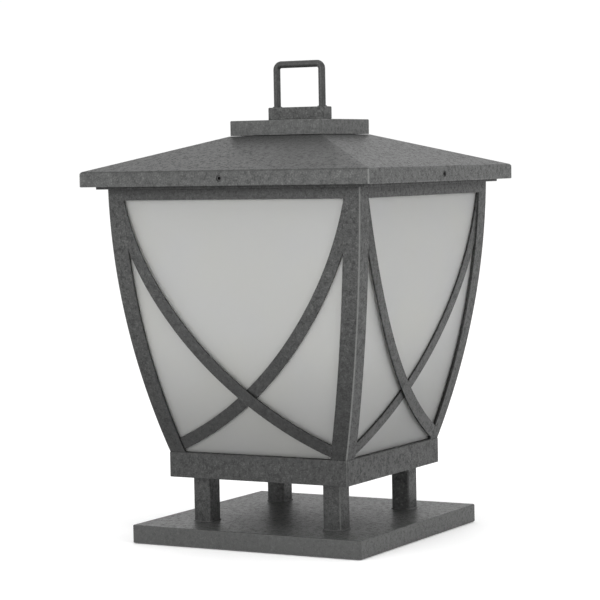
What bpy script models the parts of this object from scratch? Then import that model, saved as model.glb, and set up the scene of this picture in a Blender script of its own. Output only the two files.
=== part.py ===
"""Garden lantern: a folded base pan on the ground, four tube posts, a tray, a curved cage of
ribs and crossed straps round frosted panels, and a hipped roof that lifts off.

Metres, +Z up.  The lantern's front looks along -Y and its right side along +X.
"""
import math

import bmesh
import bpy
from mathutils import Matrix, Vector

MM = 0.001
GAP = 0.3 * MM                     # left between parts that touch or are welded

# base pan
BASE_HALF = 108.2 * MM
BASE_TOP = 15.6 * MM
BASE_RIM = 0.5 * MM                # the rim stands this far off the ground, on its pads
PAN_WALL = 2.0 * MM
PAN_CORNER = 2.2 * MM
PAD_SIDE = 20.0 * MM

# posts and tray
POST_AT = 62.1 * MM
POST_SIDE = 16.5 * MM
POST_WALL = 1.6 * MM
TRAY_HALF = 84.9 * MM
TRAY_LOW = 54.6 * MM
TRAY_TOP = 75.9 * MM
WIRE_HOLE = 5.5 * MM               # radius of the wire holes through base and tray

# the curved body: a circular side profile, half width against height
PROFILE_R = 818.2 * MM
PROFILE_Z = 309.5 * MM
PROFILE_H = -699.7 * MM
BODY_TOP = 296.9 * MM
RIB_LEG = 15.3 * MM
RIB_THICK = 2.5 * MM

# straps: arcs of flat bar, laid out on the unrolled face (x across, s down from the top)
STRAP_X = 209.4 * MM
STRAP_S = -87.5 * MM
STRAP_R = 334.6 * MM
STRAP_WIDE = 10.6 * MM
STRAP_TURN = 3.4 * MM              # set inwards at the top, easing off as the square of the way down
STRAP_TURN_END = 80.0 * MM
STRAP_FRONT = (-0.9 * MM, 0.8 * MM)
STRAP_BACK = (-2.9 * MM, -1.2 * MM)

# frosted panels
PANEL_OUT = -3.3 * MM
PANEL_THICK = 3.0 * MM
PANEL_EDGE = 7.4 * MM              # panel edge, in from the body's corner
STOP_HALF = 62.0 * MM              # bars on the tray that keep the panels' feet in
STOP_THICK = 1.6 * MM
STOP_TOP = 10.0 * MM
STOP_BACK = 8.0 * MM               # front of a bar, in from the body's face at the tray

# top frame
SOFFIT_HALF = 125.5 * MM
SOFFIT_LOW = 297.2 * MM
SOFFIT_THICK = 2.0 * MM
SOFFIT_OPEN = 101.0 * MM
RAIL_DROP = 9.3 * MM               # both drop flanges hang this far below the soffit
KEEP_THICK = 2.0 * MM
LIP_TOP = 311.6 * MM
LIP_THICK = 1.6 * MM

# roof
EAVE_HALF = 135.0 * MM
FASCIA_LOW = 299.3 * MM
FASCIA_TOP = 311.6 * MM
TIER_HALF = 43.8 * MM
TIER_LOW = 339.5 * MM
TIER_TOP = 352.4 * MM
ROOF_WALL = 2.0 * MM
ROOF_OPEN = 24.0 * MM

# handle
BLOCK = (54.0 * MM, 14.6 * MM, 10.8 * MM)
ROD_R = 3.0 * MM
HANDLE_HALF = 21.75 * MM
HANDLE_TOP = 402.8 * MM
BEND_R = 4.4 * MM
LEG_FOOT = 2.4 * MM                # end of a handle leg, above the block's underside

# screws that hold the block and the lampholder
BLOCK_FIX = 10.0 * MM              # how far they stand from the middle
HOLDER_FIX = 24.6 * MM
FIX_HOLE = 2.2 * MM
BLOCK_SHANK = 1.9 * MM
BLOCK_TAP = 2.1 * MM
TAP_DEEP = 7.5 * MM
HEAD_R = 3.6 * MM
HEAD_TALL = 3.0 * MM
HOLDER_SHANK = 1.8 * MM
HOLDER_HOLE = 2.1 * MM

# roof set screws
SCREW_R = 2.5 * MM
SCREW_SINK = 0.4 * MM
SCREW_Z = 305.3 * MM
NUT_SIDE = 8.0 * MM
NUT_DEEP = 5.6 * MM
SOCKET_R = 1.45 * MM
SOCKET_DEEP = 2.6 * MM

# lamp and wiring
HOLDER_R = 21.0 * MM
HOLDER_FLANGE = 28.0 * MM
HOLDER_TALL = 44.0 * MM
HOLDER_FLOOR = 13.0 * MM
HOLDER_BORE = 14.0 * MM
CAP_R = 13.1 * MM
CAP_TALL = 26.0 * MM
CAP_SEAT = 19.0 * MM               # bottom of the cup that takes the bulb's neck
CAP_WALL = 1.0 * MM
THREAD = (6.0 * MM, 1.5 * MM, 11, 0.5 * MM)     # start, step, count and depth of the cap's rings
BULB_R = 30.0 * MM
BULB_TALL = 82.0 * MM
BULB_WALL = 1.0 * MM
CABLE_R = 3.2 * MM
CABLE_BEND = 6.0 * MM
LEAD_R = 2.4 * MM
LEAD_BEND = 3.0 * MM
GROMMET_LIP = 1.6 * MM             # how far a grommet stands out of its sheet
GROMMET_FLANGE = 6.6 * MM
TERMINAL_LOW = (-58.0 * MM, 4.0 * MM)
TERMINAL_HIGH = (-42.0 * MM, 32.0 * MM)
TERMINAL_TOP = 15.0 * MM           # above the tray
WIRE_UP = 8.0 * MM                 # height of the cable and lead above the tray
THROUGH = 10.0 * MM                # how far a cutter passes the metal it cuts

SIDES = ("front", "right", "back", "left")


# ---------------------------------------------------------------- scene helpers

def clear_scene():
    for ob in list(bpy.data.objects):
        bpy.data.objects.remove(ob, do_unlink=True)
    for group in (bpy.data.meshes, bpy.data.curves, bpy.data.materials):
        for item in list(group):
            group.remove(item)


def collection(name, hidden=False):
    col = bpy.data.collections.new(name)
    bpy.context.scene.collection.children.link(col)
    col.hide_render = hidden
    return col


def material(name, colour, rough, metal=0.0, alpha=1.0):
    mat = bpy.data.materials.new(name)
    mat.use_nodes = True
    bsdf = mat.node_tree.nodes["Principled BSDF"]
    bsdf.inputs["Base Color"].default_value = (*colour, 1.0)
    bsdf.inputs["Roughness"].default_value = rough
    bsdf.inputs["Metallic"].default_value = metal
    bsdf.inputs["Alpha"].default_value = alpha
    mat.diffuse_color = (*colour, alpha)
    return mat


def add(name, data, mat, origin=(0, 0, 0)):
    ob = bpy.data.objects.new(name, data)
    ob.location = origin
    LANTERN.objects.link(ob)
    data.materials.append(mat)
    return ob


def cutter(name, data, origin=(0, 0, 0)):
    ob = bpy.data.objects.new(name, data)
    ob.location = origin
    ob.hide_render = True
    ob.display_type = 'WIRE'
    CUTTERS.objects.link(ob)
    return ob


def box_mesh(name, low, high):
    bm = bmesh.new()
    bmesh.ops.create_cube(bm, size=1.0)
    low, high = Vector(low), Vector(high)
    size, mid = high - low, (high + low) / 2
    for v in bm.verts:
        v.co = Vector((v.co.x * size.x, v.co.y * size.y, v.co.z * size.z)) + mid
    return finish(name, bm)


def rod_mesh(name, radius, low, high, axis='Z', sides=32):
    """A round rod from low to high along one axis, centred on the other two."""
    bm = bmesh.new()
    bmesh.ops.create_cone(bm, cap_ends=True, segments=sides, radius1=radius, radius2=radius,
                          depth=high - low)
    turn = {'X': Matrix.Rotation(math.pi / 2, 4, 'Y'), 'Y': Matrix.Rotation(-math.pi / 2, 4, 'X'),
            'Z': Matrix.Identity(4)}[axis]
    shift = Matrix.Translation(Vector([(low + high) / 2 if a == axis else 0 for a in 'XYZ']))
    bmesh.ops.transform(bm, matrix=shift @ turn, verts=bm.verts)
    return finish(name, bm)


def finish(name, bm):
    bmesh.ops.recalc_face_normals(bm, faces=bm.faces)
    mesh = bpy.data.meshes.new(name)
    bm.to_mesh(mesh)
    bm.free()
    return mesh


def bevel(ob, width, segments=2, angle=35):
    mod = ob.modifiers.new("edge", 'BEVEL')
    mod.width = width
    mod.segments = segments
    mod.limit_method = 'ANGLE'
    mod.angle_limit = math.radians(angle)
    return ob


def boolean(ob, other, kind='DIFFERENCE'):
    mod = ob.modifiers.new(kind.lower(), 'BOOLEAN')
    mod.operation = kind
    mod.solver = 'EXACT'
    mod.object = other
    return ob


def revolve(name, outline, mat, origin=(0, 0, 0), steps=32):
    """Turn an outline of (radius, height) pairs, listed anticlockwise, round Z."""
    outline = outline[::-1]
    mesh = bpy.data.meshes.new(name)
    mesh.from_pydata([(r, 0, z) for r, z in outline],
                     [(i, i + 1) for i in range(len(outline) - 1)], [])
    ob = add(name, mesh, mat, origin)
    mod = ob.modifiers.new("turn", 'SCREW')
    mod.steps = mod.render_steps = steps
    mod.use_merge_vertices = True
    mod.merge_threshold = 0.00002
    return ob


def loft(name, rings, closed=False):
    """Skin rings of equal point count into one closed mesh, capping or joining the ends."""
    bm = bmesh.new()
    grid = [[bm.verts.new(p) for p in ring] for ring in rings]
    count = len(grid[0])
    pairs = list(zip(grid, grid[1:])) + ([(grid[-1], grid[0])] if closed else [])
    for a, b in pairs:
        for i in range(count):
            j = (i + 1) % count
            bm.faces.new((a[i], a[j], b[j], b[i]))
    if not closed:
        bm.faces.new(grid[0])
        bm.faces.new(list(reversed(grid[-1])))
    return finish(name, bm)


def pipe(name, points, radius, mat, bend):
    """A round rod or cable along a path: a bevelled curve, its corners rounded to a bend radius."""
    curve = bpy.data.curves.new(name, 'CURVE')
    curve.dimensions = '3D'
    curve.bevel_depth = radius
    curve.bevel_resolution = 3
    curve.resolution_u = 6
    curve.use_fill_caps = True
    knots = rounded(points, bend)
    spline = curve.splines.new('BEZIER')
    spline.bezier_points.add(len(knots) - 1)
    for knot, (co, left, right) in zip(spline.bezier_points, knots):
        knot.co = co
        knot.handle_left_type = knot.handle_right_type = 'FREE'
        knot.handle_left, knot.handle_right = left, right
    return add(name, curve, mat)


def rounded(points, radius):
    """Knots of (place, left handle, right handle): two with arc-like handles at each inner corner."""
    pts = [Vector(p) for p in points]
    knots = [(pts[0], pts[0], pts[0])]
    for before, at, after in zip(pts, pts[1:], pts[2:]):
        u, v = (before - at).normalized(), (after - at).normalized()
        half = u.angle(v) / 2
        back = radius / math.tan(half)
        handle = radius * 4 / 3 * math.tan((math.pi - 2 * half) / 4)
        a, b = at + u * back, at + v * back
        knots.append((a, a + u * radius * 0.2, a - u * handle))
        knots.append((b, b - v * handle, b + v * radius * 0.2))
    knots.append((pts[-1], pts[-1], pts[-1]))
    return knots


# ---------------------------------------------------------------- the body's curved faces

def turned(point, side):
    """Carry a point of the front face to another side of the lantern."""
    x, y, z = point
    for _ in range(side):
        x, y = -y, x
    return (x, y, z)


def slope_at(z, d=0.0):
    """Profile angle where the surface offset outward by d has height z."""
    return math.asin((z - PROFILE_Z) / (PROFILE_R + d))


def half_at(z):
    return PROFILE_H + PROFILE_R * math.cos(slope_at(z))


def on_face(x, slope, d, side):
    """Point of a face at profile angle slope, offset outward by d, x across from its middle."""
    r = PROFILE_R + d
    return turned((x, -(PROFILE_H + r * math.cos(slope)), PROFILE_Z + r * math.sin(slope)), side)


def blend(a, b, t):
    return a + (b - a) * t


def turned_box(name, low, high, side):
    """Box mesh of the front side's corners low and high, carried to another side."""
    a, b = turned(low, side), turned(high, side)
    return box_mesh(name, [min(p, q) for p, q in zip(a, b)], [max(p, q) for p, q in zip(a, b)])


def corner_rib(name, side, mat, steps=20):
    """An angle bar bent to the profile, standing on the left corner of the given side."""
    low, high = TRAY_TOP + GAP, BODY_TOP
    rings = []
    for i in range(steps + 1):
        ring = []
        for place, d in (("corner", 0), ("front", 0), ("front", -RIB_THICK),
                         ("corner", -RIB_THICK), ("side", -RIB_THICK), ("side", 0)):
            slope = blend(slope_at(high, d), slope_at(low, d), i / steps)
            x, y, z = on_face(0, slope, d, 0)
            leg = -(half_at(z) - RIB_LEG)
            point = {"corner": (y, y, z), "front": (leg, y, z), "side": (y, leg, z)}[place]
            ring.append(turned(point, side))
        rings.append(ring)
    return bevel(add(name, loft(name, rings), mat), 0.35 * MM, 1, 50)


def panel(name, side, mat, steps=18):
    """A frosted sheet bent to the profile, its edges hidden behind the ribs."""
    low, high = TRAY_TOP + GAP, SOFFIT_LOW - GAP
    rings = []
    for i in range(steps + 1):
        ring = []
        for sign, d in ((-1, PANEL_OUT), (1, PANEL_OUT), (1, PANEL_OUT - PANEL_THICK),
                        (-1, PANEL_OUT - PANEL_THICK)):
            slope = blend(slope_at(high, d), slope_at(low, d), i / steps)
            z = on_face(0, slope, d, 0)[2]
            ring.append(on_face(sign * (half_at(z) - PANEL_EDGE), slope, d, side))
        rings.append(ring)
    return add(name, loft(name, rings), mat)


def strap_place(offset, angle):
    """Place on the unrolled face of a point of a strap, from its width offset and its angle."""
    s = STRAP_S + (STRAP_R + offset) * math.sin(angle)
    turn = STRAP_TURN * max(0.0, 1 - s / STRAP_TURN_END) ** 2
    return STRAP_X - (STRAP_R + offset) * math.cos(angle) + turn, s


def strap_end(offset, sign):
    """Angle round the strap's centre where its line at a width offset meets a rib's inner edge."""
    def beyond(angle):
        x, s = strap_place(offset, angle)
        z = PROFILE_Z + PROFILE_R * math.sin(slope_at(BODY_TOP) - s / PROFILE_R)
        return sign * x - (half_at(z) - RIB_LEG - GAP)

    inside, outside = math.radians(55), math.radians(12 if sign < 0 else 85)
    for _ in range(50):
        mid = (inside + outside) / 2
        inside, outside = (mid, outside) if beyond(mid) < 0 else (inside, mid)
    return inside


def strap(name, side, mirror, layer, mat, steps=26):
    """Flat bar laid as an arc on the unrolled face, then bent with the face."""
    lanes = [(off, strap_end(off, -1), strap_end(off, 1)) for off in
             (-STRAP_WIDE / 2, STRAP_WIDE / 2)]
    top = slope_at(BODY_TOP)
    rings = []
    for i in range(steps + 1):
        ring = []
        for lane, d in ((0, layer[0]), (1, layer[0]), (1, layer[1]), (0, layer[1])):
            offset, start, stop = lanes[lane]
            angle = blend(start, stop, i / steps)
            x, s = strap_place(offset, angle)
            ring.append(on_face(-x if mirror else x, top - s / PROFILE_R, d, side))
        rings.append(ring)
    return bevel(add(name, loft(name, rings), mat), 0.3 * MM, 1, 50)


# ---------------------------------------------------------------- base, posts, tray

def folded_pan(name, half, low, high, mat, holes=()):
    """A square pan folded down from its top plate, open underneath."""
    ob = add(name, box_mesh(name, (-half, -half, low), (half, half, high)), mat)
    vertical = ob.modifiers.new("corners", 'BEVEL')
    vertical.width = PAN_CORNER
    vertical.segments = 4
    vertical.limit_method = 'WEIGHT'
    weights = ob.data.attributes.new("bevel_weight_edge", 'FLOAT', 'EDGE')
    for edge in ob.data.edges:
        a, b = (ob.data.vertices[i].co for i in edge.vertices)
        weights.data[edge.index].value = 1.0 if abs(a.z - b.z) > 1e-6 else 0.0
    inner = half - PAN_WALL
    hollow = cutter(name + ".hollow", box_mesh(name + ".hollow", (-inner, -inner, low - THROUGH),
                                               (inner, inner, high - PAN_WALL)))
    boolean(ob, hollow)
    for i, (x, y, r) in enumerate(holes):
        tag = f"{name}.hole{i}"
        boolean(ob, cutter(tag, rod_mesh(tag, r, low, high + THROUGH), (x, y, 0)))
    bevel(ob, 0.8 * MM, 2, 60)


def build_base(steel, rubber):
    folded_pan("base_pan", BASE_HALF, BASE_RIM, BASE_TOP, steel, [(-POST_AT, POST_AT, WIRE_HOLE)])
    at = BASE_HALF - PAN_WALL - GAP - PAD_SIDE / 2
    for i, side in enumerate(SIDES):
        x, y, _ = turned((-at, -at, 0), i)
        h = PAD_SIDE / 2
        ob = add(f"foot_pad_{side}", box_mesh("pad", (x - h, y - h, 0),
                                              (x + h, y + h, BASE_TOP - PAN_WALL - GAP)), rubber)
        bevel(ob, 1.0 * MM, 2)


def build_posts(steel):
    low, high = BASE_TOP + GAP, TRAY_TOP - PAN_WALL - GAP
    for i, side in enumerate(SIDES):
        x, y, _ = turned((-POST_AT, -POST_AT, 0), i)
        h, n = POST_SIDE / 2, POST_SIDE / 2 - POST_WALL
        ob = add(f"post_{side}", box_mesh("post", (x - h, y - h, low), (x + h, y + h, high)), steel)
        tag = f"post_{side}.bore"
        boolean(ob, cutter(tag, box_mesh(tag, (x - n, y - n, low - THROUGH),
                                         (x + n, y + n, high + THROUGH))))
        bevel(ob, 0.8 * MM, 2, 60)


def build_tray(steel):
    holes = [(-POST_AT, POST_AT, WIRE_HOLE)]
    holes += [(sx * HOLDER_FIX, 0, FIX_HOLE) for sx in (-1, 1)]
    folded_pan("bottom_tray", TRAY_HALF, TRAY_LOW, TRAY_TOP, steel, holes)


# ---------------------------------------------------------------- cage and panels

def build_cage(steel):
    for i, side in enumerate(SIDES):
        corner_rib(f"rib_{side}", i, steel)
        strap(f"strap_{side}_over", i, False, STRAP_FRONT, steel)
        strap(f"strap_{side}_under", i, True, STRAP_BACK, steel)


def build_panels(glass, steel):
    half = half_at(TRAY_TOP) - STOP_BACK
    for i, side in enumerate(SIDES):
        panel(f"panel_{side}", i, glass)
        stop = turned_box("stop", (-STOP_HALF, -half, TRAY_TOP + GAP),
                          (STOP_HALF, -half + STOP_THICK, TRAY_TOP + STOP_TOP), i)
        bevel(add(f"panel_stop_{side}", stop, steel), 0.3 * MM, 1)


def build_top_frame(steel):
    """Soffit plate with an upturned lip, and a double drop flange that takes the panels."""
    high = SOFFIT_LOW + SOFFIT_THICK
    ob = add("top_frame", box_mesh("top_frame", (-SOFFIT_HALF, -SOFFIT_HALF, SOFFIT_LOW),
                                   (SOFFIT_HALF, SOFFIT_HALF, LIP_TOP)), steel)
    n = SOFFIT_HALF - LIP_THICK
    boolean(ob, cutter("frame.well", box_mesh("frame.well", (-n, -n, high),
                                              (n, n, LIP_TOP + THROUGH))))
    n = SOFFIT_OPEN
    boolean(ob, cutter("frame.open", box_mesh("frame.open", (-n, -n, SOFFIT_LOW - THROUGH),
                                              (n, n, LIP_TOP + THROUGH))))
    out = half_at(BODY_TOP)
    reach = out - RIB_LEG - GAP
    behind = out + PANEL_OUT - PANEL_THICK - GAP
    for i, side in enumerate(SIDES):
        for tag, y, thick in (("rail", out, RIB_THICK), ("keep", behind, KEEP_THICK)):
            flange = turned_box("flange", (-reach, -y, SOFFIT_LOW - RAIL_DROP),
                                (reach, -y + thick, SOFFIT_LOW + SOFFIT_THICK / 2), i)
            boolean(ob, cutter(f"frame.{tag}_{side}", flange), 'UNION')
    bevel(ob, 0.3 * MM, 1, 60)


# ---------------------------------------------------------------- roof

def square_shell(name, outline, mat):
    """Carry a closed outline of (half width, height) pairs round a square."""
    rings = [[(sx * h, sy * h, z) for h, z in outline] for sx, sy in
             ((-1, -1), (1, -1), (1, 1), (-1, 1))]
    return add(name, loft(name, rings, closed=True), mat)


def build_roof(steel, dark):
    drop = (TIER_LOW - FASCIA_TOP) / (EAVE_HALF - TIER_HALF)
    inner = EAVE_HALF - ROOF_WALL
    under = FASCIA_TOP - ROOF_WALL * 0.75
    flat = TIER_LOW - ROOF_WALL
    inside_top = inner - (flat - under) / drop
    ob = square_shell("roof_shell", [
        (EAVE_HALF, FASCIA_LOW), (EAVE_HALF, FASCIA_TOP), (TIER_HALF, TIER_LOW),
        (ROOF_OPEN, TIER_LOW), (ROOF_OPEN, flat), (inside_top, flat),
        (inner, under), (inner, FASCIA_LOW)], steel)
    bevel(ob, 0.9 * MM, 3, 12)
    for side, axis, sign in zip(SIDES, "YXYX", (-1, 1, 1, -1)):
        lo, hi = sorted((sign * (inner - THROUGH), sign * (EAVE_HALF + THROUGH)))
        tag = f"fascia.hole_{side}"
        boolean(ob, cutter(tag, rod_mesh(tag, SCREW_R + 0.15 * MM, lo, hi, axis), (0, 0, SCREW_Z)))
        build_set_screw(side, axis, sign, dark)
    folded_pan("roof_tier", TIER_HALF, TIER_LOW + GAP, TIER_TOP, steel,
               [(sx * BLOCK_FIX, 0, FIX_HOLE) for sx in (-1, 1)])


def along(axis, sign, near, far, half):
    """Box corners round an axis, from near to far out along it, centred on the screw height."""
    a, b = sorted((sign * near, sign * far))
    if axis == 'X':
        return (a, -half, SCREW_Z - half), (b, half, SCREW_Z + half)
    return (-half, a, SCREW_Z - half), (half, b, SCREW_Z + half)


def build_set_screw(side, axis, sign, dark):
    """A socket set screw in a square weld nut behind the fascia; its tip bears on the lip."""
    tip, head = SOFFIT_HALF + GAP, EAVE_HALF - SCREW_SINK
    inner = EAVE_HALF - ROOF_WALL
    nut = add(f"roof_nut_{side}", box_mesh("nut", *along(axis, sign, inner - GAP - NUT_DEEP,
                                                         inner - GAP, NUT_SIDE / 2)), dark)
    lo, hi = sorted((sign * (tip - THROUGH), sign * (head + THROUGH)))
    tag = f"nut.bore_{side}"
    boolean(nut, cutter(tag, rod_mesh(tag, SCREW_R + 0.1 * MM, lo, hi, axis), (0, 0, SCREW_Z)))
    bevel(nut, 0.4 * MM, 1, 60)
    lo, hi = sorted((sign * tip, sign * head))
    screw = add(f"roof_screw_{side}", rod_mesh("screw", SCREW_R, lo, hi, axis), dark, (0, 0, SCREW_Z))
    bevel(screw, 0.4 * MM, 1, 60)
    lo, hi = sorted((sign * (head - SOCKET_DEEP), sign * (head + THROUGH)))
    tag = f"screw.socket_{side}"
    boolean(screw, cutter(tag, rod_mesh(tag, SOCKET_R, lo, hi, axis, 6), (0, 0, SCREW_Z)))


def build_handle(steel, dark):
    x, y, z = BLOCK
    low = TIER_TOP + GAP
    block = add("handle_block", box_mesh("block", (-x / 2, -y / 2, low), (x / 2, y / 2, low + z)), steel)
    bevel(block, 0.8 * MM, 2, 60)
    foot = low + LEG_FOOT
    head = -PAN_WALL - GAP * 2
    for tag, sx in (("left", -1), ("right", 1)):
        name = f"block.leg_{tag}"
        boolean(block, cutter(name, rod_mesh(name, ROD_R + GAP, foot - GAP, low + z + THROUGH),
                              (sx * HANDLE_HALF, 0, 0)))
        name = f"block.tap_{tag}"
        boolean(block, cutter(name, rod_mesh(name, BLOCK_TAP, low - THROUGH, low + TAP_DEEP),
                              (sx * BLOCK_FIX, 0, 0)))
        revolve(f"block_screw_{tag}", [
            (0, head - HEAD_TALL), (HEAD_R, head - HEAD_TALL), (HEAD_R, head), (BLOCK_SHANK, head),
            (BLOCK_SHANK, TAP_DEEP - 0.9 * MM), (BLOCK_SHANK - 0.4 * MM, TAP_DEEP - 0.5 * MM),
            (0, TAP_DEEP - 0.5 * MM)], dark, (sx * BLOCK_FIX, 0, TIER_TOP), 24)
    top = HANDLE_TOP - ROD_R
    pipe("carry_handle", [(-HANDLE_HALF, 0, foot), (-HANDLE_HALF, 0, top), (HANDLE_HALF, 0, top),
                          (HANDLE_HALF, 0, foot)], ROD_R, steel, BEND_R)


# ---------------------------------------------------------------- lamp and wiring

def build_lampholder(ceramic, dark):
    base = TRAY_TOP + GAP
    holder = revolve("lampholder", [
        (0, 0), (HOLDER_FLANGE, 0), (HOLDER_FLANGE, 4 * MM), (HOLDER_R, 4.2 * MM),
        (HOLDER_R, HOLDER_TALL - 3 * MM), (HOLDER_R - 2 * MM, HOLDER_TALL),
        (HOLDER_BORE + 0.3 * MM, HOLDER_TALL), (HOLDER_BORE, HOLDER_TALL - 1 * MM),
        (HOLDER_BORE, HOLDER_FLOOR), (0, HOLDER_FLOOR)], ceramic, (0, 0, base))
    for tag, sx in (("left", -1), ("right", 1)):
        name = f"holder.hole_{tag}"
        boolean(holder, cutter(name, rod_mesh(name, HOLDER_HOLE, base - THROUGH, base + THROUGH),
                               (sx * HOLDER_FIX, 0, 0)))
        revolve(f"holder_screw_{tag}", [
            (0, -5 * MM), (HOLDER_SHANK, -5 * MM), (HOLDER_SHANK, 4.6 * MM), (3.1 * MM, 4.6 * MM),
            (3.1 * MM, 5.8 * MM), (2.2 * MM, 6.8 * MM), (0, 6.8 * MM)], dark,
            (sx * HOLDER_FIX, 0, base), 24)


def build_lamp(brass, opal):
    """The lamp stands on the holder's floor: a ringed cap and the hollow bulb in its cup."""
    low = TRAY_TOP + GAP * 2 + HOLDER_FLOOR
    start, step, count, depth = THREAD
    rings = [(CAP_R - depth * (i % 2) * 2, start + i * step) for i in range(count)]
    revolve("lamp_cap", [
        (0, 0), (4.5 * MM, 0), (5.0 * MM, 1.2 * MM), (9.5 * MM, 3.5 * MM),
        (CAP_R - 1 * MM, 4.8 * MM)] + rings + [
        (CAP_R - 0.3 * MM, 22.5 * MM), (CAP_R - 0.3 * MM, CAP_TALL),
        (CAP_R - 0.3 * MM - CAP_WALL, CAP_TALL), (CAP_R - 0.3 * MM - CAP_WALL, CAP_SEAT),
        (0, CAP_SEAT)], brass, (0, 0, low))
    crown = CAP_TALL + BULB_TALL
    revolve("lamp_bulb", [(0, crown - BULB_WALL)] + bulb_outline(BULB_WALL)[::-1]
            + bulb_outline(0) + [(0, crown)], opal, (0, 0, low))


def bulb_outline(wall):
    """Half outline of the bulb from its neck to just short of its crown, inset by wall."""
    neck = CAP_R - 0.3 * MM - CAP_WALL - GAP
    wide = CAP_TALL + BULB_TALL - BULB_R
    points = [(neck - wall, CAP_SEAT + GAP)]
    for i in range(9):                         # flare from the neck to the globe
        t = i / 9
        points.append((blend(neck, BULB_R, t * t * (3 - 2 * t)) - wall, blend(CAP_TALL, wide, t)))
    for i in range(12):
        a = i / 12 * math.pi / 2
        points.append(((BULB_R - wall) * math.cos(a), wide + (BULB_R - wall) * math.sin(a)))
    return points


def grommet(name, top, rubber):
    """A grooved ring in the wire hole of a pan whose top plate ends at height top."""
    hole, bore, low = WIRE_HOLE - GAP, CABLE_R + GAP, top - PAN_WALL
    outline = [(bore, low - GROMMET_LIP), (GROMMET_FLANGE, low - GROMMET_LIP),
               (GROMMET_FLANGE, low - GAP), (hole, low - GAP), (hole, top + GAP),
               (GROMMET_FLANGE, top + GAP), (GROMMET_FLANGE, top + GROMMET_LIP),
               (bore, top + GROMMET_LIP), (bore, low - GROMMET_LIP)]
    revolve(name, outline, rubber, (-POST_AT, POST_AT, 0))


def build_wiring(plastic, rubber):
    """Supply cable up the back left post to a terminal block, and a lead on to the lampholder."""
    x, y = -POST_AT, POST_AT
    grommet("base_grommet", BASE_TOP, rubber)
    grommet("tray_grommet", TRAY_TOP, rubber)
    block = box_mesh("block", (*TERMINAL_LOW, TRAY_TOP + GAP), (*TERMINAL_HIGH, TRAY_TOP + TERMINAL_TOP))
    bevel(add("terminal_block", block, plastic), 1.0 * MM, 2)
    z = TRAY_TOP + WIRE_UP
    entry = (TERMINAL_LOW[0] + TERMINAL_HIGH[0]) / 2
    pipe("supply_cable", [(x, y, 5 * MM), (x, y, z + 6 * MM), (entry, 46 * MM, z),
                          (entry, TERMINAL_HIGH[1] + GAP, z)], CABLE_R, rubber, CABLE_BEND)
    out = 12 * MM
    pipe("lamp_lead", [(TERMINAL_HIGH[0] + GAP, out, z), (TERMINAL_HIGH[0] + 8 * MM, out, z),
                       (TERMINAL_HIGH[0] + 12 * MM, 0, z + 8 * MM),
                       (-HOLDER_R - GAP * 2, 0, z + 8 * MM)], LEAD_R, rubber, LEAD_BEND)


clear_scene()
LANTERN = collection("stone_lantern")
CUTTERS = collection("cutters", hidden=True)
STONE = material("stone_finish_metal", (0.12, 0.12, 0.115), 0.75)
DARK = material("dark_screw_steel", (0.10, 0.10, 0.10), 0.4, 1.0)
FROST = material("frosted_panel", (0.85, 0.84, 0.81), 0.6, 0.0, 0.55)
RUBBER = material("black_rubber", (0.03, 0.03, 0.03), 0.8)
PLASTIC = material("terminal_plastic", (0.75, 0.74, 0.7), 0.5)
CERAMIC = material("lampholder_ceramic", (0.85, 0.84, 0.8), 0.35)
BRASS = material("lamp_cap_metal", (0.75, 0.72, 0.6), 0.3, 1.0)
OPAL = material("opal_lamp_glass", (0.95, 0.94, 0.9), 0.4, 0.0, 0.8)

build_base(STONE, RUBBER)
build_posts(STONE)
build_tray(STONE)
build_cage(STONE)
build_panels(FROST, STONE)
build_top_frame(STONE)
build_roof(STONE, DARK)
build_handle(STONE, DARK)
build_lampholder(CERAMIC, DARK)
build_lamp(BRASS, OPAL)
build_wiring(PLASTIC, RUBBER)
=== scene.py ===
"""Garden lantern in a stone-effect finish: its pans, cage, frosted panels, roof, lamp and wiring.

Laid out as an add-on whose operators each make one piece or one group of like pieces, round the
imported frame.  Metres, +Z up; the front looks along -Y.
"""
import math

import bmesh
import bpy
from bpy.props import FloatProperty, FloatVectorProperty, PointerProperty
from mathutils import Matrix, Vector


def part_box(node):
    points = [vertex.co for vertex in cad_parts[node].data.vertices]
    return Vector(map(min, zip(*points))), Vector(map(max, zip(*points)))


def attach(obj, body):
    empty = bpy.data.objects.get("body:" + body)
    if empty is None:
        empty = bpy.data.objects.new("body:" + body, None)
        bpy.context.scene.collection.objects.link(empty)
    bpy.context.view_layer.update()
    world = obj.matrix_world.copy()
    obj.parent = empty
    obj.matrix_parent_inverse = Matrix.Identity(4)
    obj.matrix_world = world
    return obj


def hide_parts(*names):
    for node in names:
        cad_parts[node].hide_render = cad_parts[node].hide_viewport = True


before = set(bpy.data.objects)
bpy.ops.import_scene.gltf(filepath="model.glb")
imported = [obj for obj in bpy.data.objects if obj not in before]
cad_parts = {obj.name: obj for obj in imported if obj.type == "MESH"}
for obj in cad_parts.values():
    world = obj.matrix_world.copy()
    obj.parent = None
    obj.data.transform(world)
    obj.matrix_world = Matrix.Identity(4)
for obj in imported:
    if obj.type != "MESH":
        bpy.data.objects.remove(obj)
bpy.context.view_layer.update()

bl_info = {
    "name": "Garden Lantern",
    "version": (1, 0, 0),
    "blender": (4, 5, 0),
    "location": "View3D > Sidebar > Lantern",
    "description": "Builds a stone-effect garden lantern with a lift-off roof",
    "category": "Add Mesh",
}

MM = 0.001
SIDES = ("front", "right", "back", "left")

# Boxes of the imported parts: every place below is worked out from these.
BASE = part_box("base_pan")
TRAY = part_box("bottom_tray")
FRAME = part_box("top_frame")
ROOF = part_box("roof_shell")
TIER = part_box("roof_tier")
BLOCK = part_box("handle_block")
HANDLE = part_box("carry_handle")
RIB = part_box("rib_front")
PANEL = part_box("panel_front")
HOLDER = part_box("lampholder")
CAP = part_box("lamp_cap")
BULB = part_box("lamp_bulb")
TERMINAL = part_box("terminal_block")
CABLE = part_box("supply_cable")

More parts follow.
